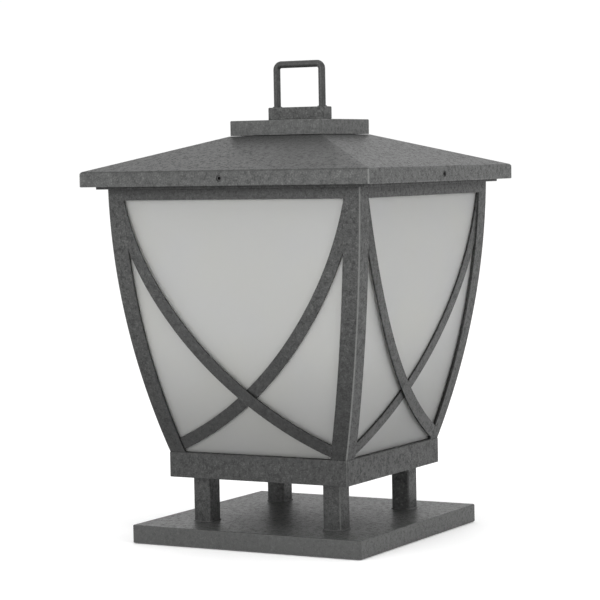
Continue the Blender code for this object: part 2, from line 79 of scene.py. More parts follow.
# The body's side profile, an arc of half width against height.
PROFILE_R = 818.2 * MM
PROFILE_Z = 309.5 * MM
PROFILE_H = -699.7 * MM
FOLD_Z = 311.6 * MM                # where the roof turns down into its fascia
GAP = 0.3 * MM
PAST = 10 * MM                     # how far a cutter runs on past what it cuts
METAL = "stone_finish_metal"

# Straps: arcs on the unrolled face, x across and s down from the body's top.
STRAP_X = 209.4 * MM
STRAP_S = -87.5 * MM
STRAP_R = 334.6 * MM
STRAP_TURN = 3.4 * MM              # set inwards at the top, easing off as the square of the way down
STRAP_TURN_END = 80.0 * MM
OVER = (-0.9 * MM, 0.8 * MM)
UNDER = (-2.9 * MM, -1.2 * MM)


# ---------------- what a user may change

def length(name, default, text):
    return FloatProperty(name=name, description=text, default=default, min=0.0, subtype='DISTANCE',
                         unit='LENGTH', precision=5)


def colour(name, default, text):
    return FloatVectorProperty(name=name, description=text, default=default, size=3, min=0.0,
                               max=1.0, subtype='COLOR')


class LanternSizes(bpy.types.PropertyGroup):
    sheet: length("Sheet", 2.0 * MM, "Thickness of the folded sheet")
    pan_corner: length("Pan corner", 2.2 * MM, "Outside radius of a pan's upright corners")
    fold: length("Fold", 0.9 * MM, "Outside radius of a pan's top folds")
    eave_fold: length("Eave fold", 2.6 * MM, "Radius where the roof turns down into its fascia")
    rib_leg: length("Rib leg", 15.3 * MM, "Width of a corner rib's leg")
    rib_thick: length("Rib thickness", 2.5 * MM, "Thickness of a corner rib")
    rib_corner: length("Rib corner", 1.3 * MM, "Outside radius of a corner rib's heel")
    strap_wide: length("Strap width", 10.6 * MM, "Width of a crossed strap")
    arris: length("Arris", 0.4 * MM, "Rounding of a bar's long edges")
    panel_thick: length("Panel thickness", 3.0 * MM, "Thickness of a frosted panel")
    post_corner: length("Post corner", 1.5 * MM, "Outside radius of a post's corners")
    bead: length("Weld bead", 0.7 * MM, "Radius of the weld beads round posts and handle")
    handle_bend: length("Handle bend", 4.4 * MM, "Centre-line radius of the carry handle's bends")


class LanternColours(bpy.types.PropertyGroup):
    coat_dark: colour("Coat, dark", (0.013, 0.0135, 0.0135), "Darkest grain of the stone-effect coat")
    coat_mid: colour("Coat, body", (0.044, 0.045, 0.044), "Body colour of the stone-effect coat")
    coat_light: colour("Coat, light", (0.125, 0.128, 0.124), "Palest flecks of the coat")
    frost: colour("Frosted panel", (0.64, 0.64, 0.63), "Frosted panels")
    steel: colour("Screw steel", (0.06, 0.06, 0.06), "Screws and weld nuts")
    rubber: colour("Rubber", (0.022, 0.022, 0.023), "Pads, grommets and cable sheath")
    terminal: colour("Terminal block", (0.62, 0.60, 0.55), "Moulded terminal block")
    glaze: colour("Glaze", (0.82, 0.81, 0.77), "Glazed lampholder body")
    cap: colour("Lamp cap", (0.72, 0.70, 0.62), "Plated lamp cap and lampholder sleeve")
    opal: colour("Opal glass", (0.88, 0.87, 0.83), "Lamp glass")
    floor: colour("Floor", (0.97, 0.97, 0.97), "Studio floor")


def sizes():
    return bpy.context.scene.lantern_sizes


def colours():
    return bpy.context.scene.lantern_colours


def shade(tone, factor):
    return tuple(factor * v for v in tone)


# ---------------- shader expressions

class Signal:
    """A socket's output; arithmetic on it adds Math nodes to its tree."""

    def __init__(self, maker, socket):
        self.maker = maker
        self.socket = socket

    def math(self, operation, a, b=0.0):
        return self.maker.node('ShaderNodeMath', {0: a, 1: b}, operation=operation)

    def __add__(self, other):
        return self.math('ADD', self, other)

    __radd__ = __add__

    def __sub__(self, other):
        return self.math('SUBTRACT', self, other)

    def __rsub__(self, other):
        return self.math('SUBTRACT', other, self)

    def __mul__(self, other):
        return self.math('MULTIPLY', self, other)

    __rmul__ = __mul__

    def size(self):
        return self.math('ABSOLUTE', self)


class Finish:
    """A material under construction: a Principled shader and the nodes that feed it."""

    def __init__(self, name, **constants):
        self.material = bpy.data.materials.new(name)
        self.material.use_nodes = True
        self.tree = self.material.node_tree
        self.shader = self.tree.nodes["Principled BSDF"]
        self.set(**constants)
        self.place = None

    def set(self, **values):
        """Set or link the Principled shader's sockets, named with _ for a space."""
        for name, value in values.items():
            self.feed(self.shader.inputs[name.replace("_", " ")], value)

    def feed(self, socket, value):
        if isinstance(value, Signal):
            self.tree.links.new(value.socket, socket)
        elif hasattr(value, "__len__") and len(value) == 3 and socket.type == 'RGBA':
            socket.default_value = (*value, 1.0)
        else:
            socket.default_value = value

    def node(self, kind, inputs, output=0, **settings):
        """Add a node: its settings first, then its inputs by name or number. Gives one output."""
        node = self.tree.nodes.new(kind)
        for key, value in settings.items():
            setattr(node, key, value)
        for key, value in inputs.items():
            self.feed(node.inputs[key], value)
        return Signal(self, node.outputs[output])

    def position(self):
        if self.place is None:
            self.place = self.node('ShaderNodeTexCoord', {}, 'Object')
        return self.place

    def noise(self, size, detail=2.0, rough=0.5):
        """Soft noise whose features are about size metres across, from 0 to 1."""
        return self.node('ShaderNodeTexNoise', {"Vector": self.position(), "Scale": 1.0 / size,
                                                "Detail": detail, "Roughness": rough})

    def grains(self, size):
        """Distance to the nearest of scattered points about size metres apart."""
        return self.node('ShaderNodeTexVoronoi', {"Vector": self.position(), "Scale": 1.0 / size})

    def step(self, value, low, high):
        """Smooth step of a value from 0 at low to 1 at high."""
        return self.node('ShaderNodeMapRange', {"Value": value, "From Min": low, "From Max": high},
                         interpolation_type='SMOOTHSTEP')

    def mix(self, factor, a, b):
        """Blend of two colours."""
        return self.node('ShaderNodeMix', {0: factor, 6: a, 7: b}, 2, data_type='RGBA')

    def along(self, axis):
        """The object's coordinate along X, Y or Z."""
        return self.node('ShaderNodeSeparateXYZ', {"Vector": self.position()}, axis)

    def height(self, low, high):
        """Smooth step up the object's height from low to high."""
        return self.step(self.along("Z"), low, high)

    def corner(self, near, far):
        """1 on the upright planes through the object's corners, fading to 0 beside them."""
        return 1.0 - self.step((self.along("X").size() - self.along("Y").size()).size(), near, far)

    def fade(self, tone, factor):
        """A colour scaled by a factor."""
        return self.node('ShaderNodeVectorMath', {"Vector": tone, "Scale": factor}, operation='SCALE')

    def bump(self, height, depth, strength):
        self.set(Normal=self.node('ShaderNodeBump', {"Height": height, "Distance": depth,
                                                     "Strength": strength}))


def stone_coat(name, tone=1.0, foot=1.0, wear_and_highlight=0.0, relief=0.5, speckle=1.0):
    """Textured stone-effect paint: mottled grey with dark pits and pale flecks.

    tone scales its colour; the tones set in COATS are painted light and shade. foot, unless it is 1,
    scales it again as painted shade, darker at the cage's foot, and adds a painted shadow under
    the eave. wear_and_highlight is how much it pales on upright corners: partly worn paint, partly
    a painted highlight. relief is the strength of its bumps, and speckle that of its pits and flecks.
    """
    c = colours()
    f = Finish(name, Metallic=0.0, Specular_IOR_Level=0.4)
    cloud = f.noise(45 * MM, 2.0)
    mottle = f.noise(3.6 * MM, 3.0, 0.6)
    grain = f.noise(1.3 * MM, 2.0, 0.6)
    pits = 1.0 - f.step(mottle * 0.5 + grain * 0.5, 0.38, 0.52)
    flecks = f.step(mottle * 0.4 + grain * 0.6, 0.53, 0.66)
    above = f.height(FOLD_Z - 1 * MM, FOLD_Z)              # calmer on the roof's slopes, and darker there: painted shade
    contrast = speckle * (1.0 - 0.45 * above)
    body = f.mix(cloud, shade(c.coat_mid, 0.86 * tone), shade(c.coat_mid, 1.14 * tone))
    pitted = f.mix(pits * contrast * 0.7, body, shade(c.coat_dark, tone))
    coat = f.mix(flecks * contrast * 0.6, pitted, shade(c.coat_light, tone))
    if foot != 1.0:
        # Painted shade: darker towards the cage's foot, and a painted shadow under the eave.
        rise = f.height(TRAY[1].z, TRAY[1].z + 0.75 * (RIB[1].z - RIB[0].z))
        eave = f.height(RIB[1].z - 6.5 * MM, RIB[1].z - 1.0 * MM)
        coat = f.fade(coat, (foot + (1.0 - foot) * rise) * (1.0 - 0.52 * eave))
    # Paler upright corners: partly worn paint, partly a painted highlight where the corners catch the
    # light.
    if wear_and_highlight:
        coat = f.mix(f.corner(0.5 * MM, 1.4 * MM) * (1.0 - above) * (wear_and_highlight * 0.6 + grain * (wear_and_highlight * 0.8)),
                     f.fade(coat, 1.0 - 0.36 * above), shade(c.coat_light, 1.3 * tone))
    f.set(Base_Color=coat, Roughness=0.4 + pits * 0.24 - flecks * 0.05)
    f.bump(mottle * 0.6 + grain * 0.4, 0.2 * MM, relief)
    return f.material


def frosted_glass():
    """Etched panel: soft, faintly clouded, letting a blurred light through."""
    c = colours()
    f = Finish("frosted_panel_glass", Transmission_Weight=0.6, IOR=1.45, Specular_IOR_Level=0.3)
    cloud = f.noise(70 * MM, 2.0)
    etch = f.noise(0.9 * MM, 2.0, 0.6)
    cool, warm = (tuple(k * v for k, v in zip(tint, c.frost))
                  for tint in ((0.97, 0.98, 1.015), (1.02, 1.02, 0.97)))
    pane = f.mix(cloud, cool, warm)
    rise = f.height(PANEL[0].z - 10 * MM, PANEL[0].z + 110 * MM)       # darker towards its foot: painted shade
    f.set(Base_Color=f.fade(pane, 0.66 + 0.34 * rise), Roughness=0.5 + etch * 0.16)
    f.bump(etch, 0.03 * MM, 0.5)
    return f.material


def screw_steel():
    c = colours()
    f = Finish("blackened_screw_steel", Metallic=1.0)
    bloom = f.noise(1.6 * MM, 3.0, 0.6)
    turning = f.noise(0.5 * MM, 1.0)
    f.set(Base_Color=f.mix(bloom, shade(c.steel, 0.7), shade(c.steel, 1.25)), Roughness=0.34 + bloom * 0.24)
    f.bump(turning, 0.02 * MM, 0.6)
    return f.material


def black_rubber():
    c = colours()
    f = Finish("matt_black_rubber", Specular_IOR_Level=0.35)
    bloom = f.noise(9 * MM, 3.0)
    fine = f.noise(0.6 * MM, 2.0)
    f.set(Base_Color=f.mix(bloom, c.rubber, shade(c.rubber, 1.7)), Roughness=0.66 + bloom * 0.16)
    f.bump(fine, 0.03 * MM, 0.6)
    return f.material


def moulded_plastic():
    c = colours()
    f = Finish("moulded_terminal_plastic")
    drift = f.noise(12 * MM, 2.0)
    fine = f.noise(0.5 * MM, 2.0)
    f.set(Base_Color=f.mix(drift, shade(c.terminal, 0.93), shade(c.terminal, 1.04)),
          Roughness=0.42 + fine * 0.12)
    f.bump(fine, 0.015 * MM, 0.5)
    return f.material


def glazed_ceramic():
    c = colours()
    f = Finish("glazed_holder_ceramic", Coat_Roughness=0.08)
    ripple = f.noise(7 * MM, 2.0)
    speck = 1.0 - f.step(f.grains(4 * MM), 0.05, 0.11)
    glaze = f.mix(ripple, shade(c.glaze, 0.96), c.glaze)
    f.set(Base_Color=f.mix(speck * 0.35, glaze, (0.33, 0.27, 0.20)),
          Roughness=0.22 + ripple * 0.1, Coat_Weight=0.35)
    f.bump(ripple, 0.08 * MM, 0.35)
    return f.material


def plated_metal():
    c = colours()
    f = Finish("plated_lamp_metal", Metallic=1.0)
    stain = f.noise(4 * MM, 3.0, 0.6)
    fine = f.noise(0.4 * MM, 1.0)
    f.set(Base_Color=f.mix(stain, shade(c.cap, 0.86), c.cap), Roughness=0.24 + stain * 0.2)
    f.bump(fine, 0.01 * MM, 0.5)
    return f.material


def opal_glass():
    c = colours()
    f = Finish("opal_lamp_glass", Transmission_Weight=0.2, IOR=1.45)
    film = f.noise(18 * MM, 2.0)
    f.set(Base_Color=f.mix(film, shade(c.opal, 0.97), c.opal), Roughness=0.3 + film * 0.12)
    f.bump(film, 0.02 * MM, 0.2)
    return f.material


def studio_floor():
    f = Finish("studio_floor", Roughness=0.8, Specular_IOR_Level=0.2, Emission_Color=(1, 1, 1, 1),
               Emission_Strength=0.11)
    wash = f.noise(0.6, 2.0)
    tone = colours().floor
    f.set(Base_Color=f.mix(wash, shade(tone, 0.995), tone))
    return f.material


FINISHES = {
    "frosted_panel": frosted_glass, "dark_screw_steel": screw_steel,
    "black_rubber": black_rubber, "terminal_plastic": moulded_plastic,
    "lampholder_ceramic": glazed_ceramic, "lamp_cap_metal": plated_metal, "opal_lamp_glass": opal_glass,
}
# How the coat differs from one group of pieces to the next; see stone_coat. The tones are painted light and
# shade: the one coat paler on lit pieces, darker on shaded ones.
COATS = {
    "roof": dict(tone=1.2, wear_and_highlight=0.6, relief=0.16, speckle=0.85),
    "tier": dict(tone=1.5, relief=0.3, speckle=1.0),
    "block": dict(tone=1.24, relief=0.3, speckle=1.8),
    "frame": dict(tone=0.69, foot=0.34),
    "cage": dict(tone=0.78, foot=0.34, wear_and_highlight=0.9, speckle=1.15),
    "tray": dict(tone=0.54, wear_and_highlight=0.5),
    "posts": dict(tone=0.76, wear_and_highlight=0.5),
    "base": dict(tone=1.13, relief=0.12, speckle=0.35),
}
MADE = {}


def finish_for(slot, coat):
    """The material of one of the record's slots, made once; coat picks the stone-effect group."""
    key = coat if slot == METAL else slot
    if key not in MADE:
        MADE[key] = stone_coat(f"stone_effect_{coat}", **COATS[coat]) if key == coat else FINISHES[slot]()
    return MADE[key]


# ---------------- mesh tools

def block_mesh(low, high):
    """A box between two corners, as a bmesh."""
    bm = bmesh.new()
    low, high = Vector(low), Vector(high)
    place = Matrix.Translation((low + high) / 2) @ Matrix.Diagonal((*(high - low), 1.0))
    bmesh.ops.create_cube(bm, size=1.0, matrix=place)
    return bm


def rod_between(radius, low, high, axis, middle, sides=32):
    """A closed cylinder along one axis, as a bmesh; middle places it on the other two."""
    bm = bmesh.new()
    turn = {'X': Matrix.Rotation(math.pi / 2, 4, 'Y'), 'Y': Matrix.Rotation(-math.pi / 2, 4, 'X'),
            'Z': Matrix.Identity(4)}[axis]
    centre = Vector(middle)
    centre['XYZ'.index(axis)] = (low + high) / 2
    bmesh.ops.create_cone(bm, cap_ends=True, segments=sides, radius1=radius, radius2=radius,
                          depth=high - low, matrix=Matrix.Translation(centre) @ turn)
    return bm


def round_edges(bm, radius, segments, wanted=lambda a, b: True):
    """Round the edges for which wanted(a, b), given their two ends, is true."""
    chosen = [e for e in bm.edges if wanted(e.verts[0].co, e.verts[1].co)]
    bmesh.ops.bevel(bm, geom=chosen, offset=radius, segments=segments, profile=0.5, affect='EDGES')
    return bm


def upright(a, b):
    return abs(a.z - b.z) > 1e-6 and (a.xy - b.xy).length < 1e-7


def level(z):
    return lambda a, b: abs(a.z - z) < 1e-7 and abs(b.z - z) < 1e-7


def loose(name, bm):
    """A bmesh as an object that isn't a piece yet."""
    bmesh.ops.recalc_face_normals(bm, faces=bm.faces)
    mesh = bpy.data.meshes.new(name)
    bm.to_mesh(mesh)
    bm.free()
    ob = bpy.data.objects.new(name, mesh)
    bpy.context.scene.collection.objects.link(ob)
    return ob


def settle(ob):
    """Apply an object's modifiers to its mesh."""
    shown = ob.evaluated_get(bpy.context.evaluated_depsgraph_get())
    mesh = bpy.data.meshes.new_from_object(shown)
    ob.modifiers.clear()
    ob.data = mesh
    return ob


def carve(ob, tools, operation='DIFFERENCE'):
    """Cut tools out of an object, or weld them on, with exact Booleans."""
    others = [loose("tool", bm) for bm in tools]
    for other in others:
        mod = ob.modifiers.new("carve", 'BOOLEAN')
        mod.operation, mod.solver, mod.object = operation, 'EXACT', other
    bpy.context.view_layer.update()
    settle(ob)
    for other in others:
        bpy.data.objects.remove(other, do_unlink=True)
    return ob


def ease(ob, width, segments=2, angle=50):
    """Round what sharp edges are left."""
    mod = ob.modifiers.new("ease", 'BEVEL')
    mod.width, mod.segments = width, segments
    mod.limit_method, mod.angle_limit = 'ANGLE', math.radians(angle)
    mod.use_clamp_overlap = True
    return settle(ob)


def smooth(ob, angle):
    """Shade smooth, with a crease wherever faces meet at more than an angle."""
    mesh = ob.data
    mesh.polygons.foreach_set("use_smooth", [True] * len(mesh.polygons))
    mesh.set_sharp_from_angle(angle=math.radians(angle))
    mod = ob.modifiers.new("normals", 'WEIGHTED_NORMAL')
    mod.keep_sharp = True
    mod.weight = 80
    return settle(ob)


def piece(ob, slot, *nodes, body="lantern_body", coat=None, crease=32):
    """Finish an object as a piece: shading, material, the body it rides on, what it stands for."""
    smooth(ob, crease)
    ob.data.materials.clear()
    ob.data.materials.append(finish_for(slot, coat or ("roof" if body == "roof" else "cage")))
    for polygon in ob.data.polygons:
        polygon.material_index = 0
    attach(ob, body)
    if nodes:
        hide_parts(*nodes)


def revolved(name, outline, origin, steps, ring=False):
    """Turn an outline of (radius, height) pairs round Z; points on the axis become poles.

    The outline of a ring is closed on itself.
    """
    bm = bmesh.new()
    rows = []
    for r, z in outline:
        if r < 1e-7:
            rows.append([bm.verts.new((origin[0], origin[1], origin[2] + z))])
        else:
            rows.append([bm.verts.new((origin[0] + r * math.cos(a), origin[1] + r * math.sin(a),
                                       origin[2] + z))
                         for a in (math.tau * i / steps for i in range(steps))])
    for a, b in zip(rows, rows[1:] + (rows[:1] if ring else [])):
        for i in range(steps):
            j = (i + 1) % steps
            corners = list(dict.fromkeys((a[i % len(a)], a[j % len(a)], b[j % len(b)], b[i % len(b)])))
            if len(corners) > 2:
                bm.faces.new(corners)
    return loose(name, bm)


def loft(name, rings, closed=False):
    """Skin rings of equal count into one closed mesh."""
    bm = bmesh.new()
    grid = [[bm.verts.new(p) for p in ring] for ring in rings]
    count = len(grid[0])
    for a, b in list(zip(grid, grid[1:])) + ([(grid[-1], grid[0])] if closed else []):
        for i in range(count):
            j = (i + 1) % count
            bm.faces.new((a[i], a[j], b[j], b[i]))
    if not closed:
        bm.faces.new(grid[0])
        bm.faces.new(list(reversed(grid[-1])))
    return loose(name, bm)


def arc(centre, radius, start, stop, count):
    """Points of an arc in a plane, angles in degrees, both ends included."""
    angles = [math.radians(start + (stop - start) * i / count) for i in range(count + 1)]
    return [(centre[0] + radius * math.cos(a), centre[1] + radius * math.sin(a)) for a in angles]


def tube(name, points, radius, sides=24, closed=False):
    """A round bar swept along points, with flat ends, carried without twist."""
    pts = [Vector(p) for p in points]
    last = len(pts) - 1
    tangents = []
    for i, p in enumerate(pts):
        ahead = pts[(i + 1) % len(pts)] if closed or i < last else p
        behind = pts[i - 1] if closed or i > 0 else p
        tangents.append((ahead - behind).normalized())
    side = tangents[0].orthogonal().normalized()
    rings = []
    for p, t in zip(pts, tangents):
        side = (side - t * side.dot(t)).normalized()
        up = t.cross(side)
        rings.append([p + (side * math.cos(a) + up * math.sin(a)) * radius
                      for a in (math.tau * k / sides for k in range(sides))])
    return loft(name, rings, closed)


def rounded_path(points, radius, count=8):
    """A path whose inner corners are replaced by arcs of the given radius."""
    pts = [Vector(p) for p in points]
    path = [pts[0]]
    for before, at, after in zip(pts, pts[1:], pts[2:]):
        u, v = (before - at).normalized(), (after - at).normalized()
        half = u.angle(v) / 2
        middle = at + (u + v).normalized() * radius / math.sin(half)
        start = at + u * radius / math.tan(half) - middle
        stop = at + v * radius / math.tan(half) - middle
        path += [middle + radius * start.slerp(stop, i / count) for i in range(count + 1)]
    return path + [pts[-1]]


# ---------------- the body's curved faces

def turned(point, side):
    """Carry a point of the front face to another side."""
    x, y, z = point
    for _ in range(side):
        x, y = -y, x
    return Vector((x, y, z))


def centre_of(node):
    """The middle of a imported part's box."""
    low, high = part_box(node)
    return (low + high) / 2


def facing(side):
    """The axis that a side faces along, as its letter and its number."""
    axis = 'Y' if side in ("front", "back") else 'X'
    return axis, 'XYZ'.index(axis)


def turned_box(low, high, side):
    a, b = turned(low, side), turned(high, side)
    return [min(p, q) for p, q in zip(a, b)], [max(p, q) for p, q in zip(a, b)]


def slope_at(z, depth=0.0):
    """Profile angle where the surface a depth inside the face has height z."""
    return math.asin((z - PROFILE_Z) / (PROFILE_R - depth))


def half_at(z, depth=0.0):
    """Half width of the surface a depth inside the face, at height z."""
    return PROFILE_H + (PROFILE_R - depth) * math.cos(slope_at(z, depth))


def height_at(depth, low, high, share):
    """Height of a point a share of the way down the surface a depth inside the face."""
    start, stop = slope_at(high, depth), slope_at(low, depth)
    return PROFILE_Z + (PROFILE_R - depth) * math.sin(start + (stop - start) * share)


def on_face(x, slope, depth, side):
    r = PROFILE_R - depth
    return turned((x, -(PROFILE_H + r * math.cos(slope)), PROFILE_Z + r * math.sin(slope)), side)


def rib_section(leg, thick, heel, arris):
    """Section of an angle bar as (inset from its front, inset from its side) pairs."""
    bend = arc((heel, heel), heel, 225, 180, 3)
    tip = arc((leg - arris, arris), arris, -90, 0, 3) + arc((leg - arris, thick - arris), arris, 0, 90, 3)
    front = bend[1:] + [(u, v) for v, u in tip] + [(thick, thick + 0.6 * arris)]
    return bend[:1] + front + [(thick, thick)] + [(v, u) for u, v in reversed(front)]


def corner_rib(side, steps=72):
    """An angle bar bent to the profile on the left corner of a side."""
    s = sizes()
    low, high = RIB[0].z - GAP, RIB[1].z + GAP          # welded to the tray and to the soffit
    outline = rib_section(s.rib_leg, s.rib_thick, s.rib_corner, s.arris)
    rings = []
    for i in range(steps + 1):
        ring = []
        for u, v in outline:
            z = height_at(min(u, v), low, high, i / steps)
            along = [half_at(z) - w if w > s.rib_thick * 1.5 else half_at(z, w) for w in (v, u)]
            ring.append(turned((-along[0], -along[1], z), side))
        rings.append(ring)
    return loft(f"corner_rib_{SIDES[side]}", rings)


def strap_place(offset, angle):
    """Place on the unrolled face of a point of a strap, from its width offset and its angle."""
    s = STRAP_S + (STRAP_R + offset) * math.sin(angle)
    turn = STRAP_TURN * max(0.0, 1 - s / STRAP_TURN_END) ** 2
    return STRAP_X - (STRAP_R + offset) * math.cos(angle) + turn, s


def strap_end(offset, sign):
    """Angle round the strap's centre where it meets a rib's inner edge."""
    top = slope_at(RIB[1].z)

    def beyond(angle):
        x, s = strap_place(offset, angle)
        z = PROFILE_Z + PROFILE_R * math.sin(top - s / PROFILE_R)
        return sign * x - (half_at(z) - sizes().rib_leg + 0.4 * MM)

    inside, outside = math.radians(55), math.radians(12 if sign < 0 else 85)
    for _ in range(50):
        middle = (inside + outside) / 2
        inside, outside = (middle, outside) if beyond(middle) < 0 else (inside, middle)
    return inside


def crossed_strap(side, mirrored, layer, steps=80):
    """Flat bar laid as an arc on the unrolled face, its long edges eased, bent with the face."""
    s = sizes()
    half, low, high, r = s.strap_wide / 2, layer[0], layer[1], s.arris
    outline = (arc((half - r, high - r), r, 0, 90, 2) + arc((-half + r, high - r), r, 90, 180, 2)
               + arc((-half + r, low + r), r, 180, 270, 2) + arc((half - r, low + r), r, 270, 360, 2))
    ends = [(strap_end(o, -1), strap_end(o, 1)) for o, _ in outline]
    top = slope_at(RIB[1].z)
    rings = []
    for i in range(steps + 1):
        ring = []
        share = i / steps
        sink = max(0.0, 1 - share / 0.2) ** 1.5 + max(0.0, 1 - (1 - share) / 0.14) ** 1.5
        drop = sink * (high + 0.15 * MM) if high > 0 else 0.0     # eased in flush where it is welded
        for (offset, rise), (start, stop) in zip(outline, ends):
            angle = start + (stop - start) * share
            x, down = strap_place(offset, angle)
            ring.append(on_face(-x if mirrored else x, top - down / PROFILE_R, drop - rise, side))
        rings.append(ring)
    return loft(f"strap_{'under' if mirrored else 'over'}_{SIDES[side]}", rings)


def frosted_sheet(side, steps=64):
    """A sheet bent to the profile, with eased edges, standing behind the ribs."""
    s = sizes()
    front = half_at(PANEL[1].z) + PANEL[0].y
    outer, inner = front, front + s.panel_thick
    edge = half_at(PANEL[1].z) - PANEL[1].x
    r = s.arris
    outline = [(1, 0.0, inner - r), (1, 0.0, outer + r), (1, r, outer), (-1, r, outer),
               (-1, 0.0, outer + r), (-1, 0.0, inner - r), (-1, r, inner), (1, r, inner)]
    rings = []
    for i in range(steps + 1):
        ring = []
        for sign, back, depth in outline:
            z = height_at(depth, PANEL[0].z, PANEL[1].z, i / steps)
            ring.append(turned((sign * (half_at(z) - edge - back), -half_at(z, depth), z), side))
        rings.append(ring)
    return loft(f"frosted_sheet_{SIDES[side]}", rings)


# ---------------- folded pans and frames

def folded_pan(name, box, holes=()):
    """A square pan folded down from its top plate, its corners and folds rounded."""
    s = sizes()
    low, high = box
    bm = round_edges(block_mesh(low, high), s.pan_corner, 5, upright)
    round_edges(bm, s.fold, 3, level(high.z))
    inset = Vector((s.sheet, s.sheet, 0))
    hollow = block_mesh(low + inset - Vector((0, 0, PAST)), high - inset - Vector((0, 0, s.sheet)))
    round_edges(hollow, 0.6 * MM, 3, upright)
    drills = [rod_between(r, low.z, high.z + PAST, 'Z', at) for at, r in holes]
    return ease(carve(loose(name, bm), [hollow] + drills), 0.3 * MM, 2, 55)


def screw_holes(kind):
    """A clearance hole for each of two screws, as (place, radius)."""
    return [(centre_of(f"{kind}_{tag}"), 2.2 * MM) for tag in ("left", "right")]


def wire_hole():
    """The hole for a grommet, in line with the post that the cable runs up."""
    return centre_of("post_left"), 5.5 * MM


def square_bead(name, half, corner, centre, z, radius):
    """A weld bead laid round a square tube."""
    path = []
    for i in range(4):
        inner = half - corner
        for x, y in arc((inner, inner), corner, 0, 90, 4):
            x, y, _ = turned((x, y, 0), i)
            path.append((centre[0] + x, centre[1] + y, z))
    return tube(name, path, radius, 12, closed=True)


def cross_recess(x, low, high, reach):
    """Cutters for the cross recess in a screw's head."""
    half = 0.4 * MM
    return [block_mesh((x - w, -d, low), (x + w, d, high)) for w, d in ((reach, half), (half, reach))]


class PieceMaker:
    """What the lantern's operators share."""
    bl_options = {'REGISTER', 'UNDO'}


class LANTERN_OT_base_pan(PieceMaker, bpy.types.Operator):
    """Make the base pan with its wire hole"""
    bl_idname = "lantern.base_pan"
    bl_label = "Base pan"

    def execute(self, context):
        piece(folded_pan("folded_base_pan", BASE, [wire_hole()]), METAL, "base_pan", coat="base")
        return {'FINISHED'}


class LANTERN_OT_foot_pads(PieceMaker, bpy.types.Operator):
    """Make the four rubber pads in the base pan's corners, grooved underneath"""
    bl_idname = "lantern.foot_pads"
    bl_label = "Foot pads"

    def execute(self, context):
        for side in SIDES:
            low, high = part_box(f"foot_pad_{side}")
            bm = round_edges(block_mesh(low, high), 1.4 * MM, 4, upright)
            round_edges(bm, 0.7 * MM, 3, level(low.z))
            grooves = []
            for i in (1, 2, 3):
                x = low.x + (high.x - low.x) * i / 4
                grooves.append(block_mesh((x - 0.6 * MM, low.y - 1 * MM, low.z - 1 * MM),
                                          (x + 0.6 * MM, high.y + 1 * MM, low.z + 0.8 * MM)))
            piece(carve(loose(f"rubber_pad_{side}", bm), grooves), "black_rubber", f"foot_pad_{side}")
        return {'FINISHED'}


class LANTERN_OT_posts(PieceMaker, bpy.types.Operator):
    """Make the four square tube posts and the weld bead at each foot"""
    bl_idname = "lantern.posts"
    bl_label = "Posts"

    def execute(self, context):
        s = sizes()
        past = Vector((0, 0, PAST))
        for side in SIDES:
            low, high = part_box(f"post_{side}")
            wall = Vector((1.6 * MM, 1.6 * MM, 0))
            ob = loose(f"tube_post_{side}", round_edges(block_mesh(low, high), s.post_corner, 4, upright))
            carve(ob, [block_mesh(low + wall - past, high - wall + past)])
            piece(ease(ob, 0.25 * MM, 1, 60), METAL, f"post_{side}", coat="posts")
            proud = 0.2 * MM                            # how far the bead's middle stands off the metal
            bead = square_bead(f"post_weld_{side}", (high.x - low.x) / 2 + proud, s.post_corner,
                               (low + high) / 2, BASE[1].z + proud, s.bead)
            piece(bead, METAL, coat="base", crease=80)
        return {'FINISHED'}


class LANTERN_OT_tray(PieceMaker, bpy.types.Operator):
    """Make the bottom tray that the cage stands on"""
    bl_idname = "lantern.tray"
    bl_label = "Bottom tray"

    def execute(self, context):
        ob = folded_pan("folded_bottom_tray", TRAY, [wire_hole()] + screw_holes("holder_screw"))
        piece(ob, METAL, "bottom_tray", coat="tray")
        return {'FINISHED'}


class LANTERN_OT_ribs(PieceMaker, bpy.types.Operator):
    """Make the four curved corner ribs"""
    bl_idname = "lantern.ribs"
    bl_label = "Corner ribs"

    def execute(self, context):
        for i, side in enumerate(SIDES):
            piece(corner_rib(i), METAL, f"rib_{side}")
        return {'FINISHED'}


class LANTERN_OT_straps(PieceMaker, bpy.types.Operator):
    """Make the eight crossed straps, two to a face"""
    bl_idname = "lantern.straps"
    bl_label = "Crossed straps"

    def execute(self, context):
        for i, side in enumerate(SIDES):
            for tag, mirrored, layer in (("over", False, OVER), ("under", True, UNDER)):
                piece(crossed_strap(i, mirrored, layer), METAL, f"strap_{side}_{tag}")
        return {'FINISHED'}


class LANTERN_OT_panels(PieceMaker, bpy.types.Operator):
    """Make the four frosted panels and the stops that hold them in"""
    bl_idname = "lantern.panels"
    bl_label = "Frosted panels"

    def execute(self, context):
        for i, side in enumerate(SIDES):
            piece(frosted_sheet(i), "frosted_panel", f"panel_{side}")
            bm = round_edges(block_mesh(*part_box(f"panel_stop_{side}")), 0.35 * MM, 2)
            piece(loose(f"sheet_stop_{side}", bm), METAL, f"panel_stop_{side}")
        return {'FINISHED'}


